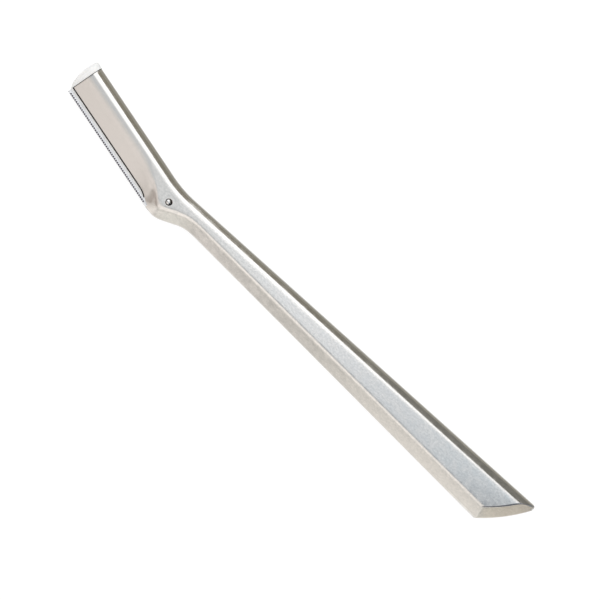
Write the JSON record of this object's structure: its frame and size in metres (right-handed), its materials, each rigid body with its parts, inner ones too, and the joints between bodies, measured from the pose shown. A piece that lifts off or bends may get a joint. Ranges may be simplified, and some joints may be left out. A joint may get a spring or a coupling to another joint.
{
  "type": "eyebrow razor",
  "caption": "Slim satin-metal eyebrow razor: a faceted handle with a bent, flat sleeve head that holds a slide-out guarded blade cartridge with a white end cap.",
  "frame": {"origin": "below the middle of the whole razor's box, on the plane of the handle's back facet, on which it lies", "axes": "+X along the handle's straight back line towards the butt, +Y towards the back line (spine) side, away from the cutting edge, +Z from the back facet to the front facet"},
  "size_m": [0.1522, 0.0212, 0.0046],
  "materials": {
    "satin_steel": "satin, blasted, with bright rubbed edges",
    "polished_steel": "polished",
    "white_plastic": "glossy, slightly translucent",
    "blade_steel": "rolled strip with a ground edge",
    "guard_foil": "bright pressed foil"
  },
  "bodies": {
    "handle": {"handle_casting": "satin_steel", "retaining_pin": "polished_steel"},
    "cartridge": {"cartridge_carrier": "white_plastic", "blade_clamp": "white_plastic", "blade": "blade_steel", "guard_comb": "guard_foil"}
  },
  "joints": [
    {"name": "cartridge_slide", "type": "slide", "parent": "handle", "child": "cartridge", "axis": [-0.9694, 0.2453, 0], "range_m": [0, 0.045]}
  ]
}
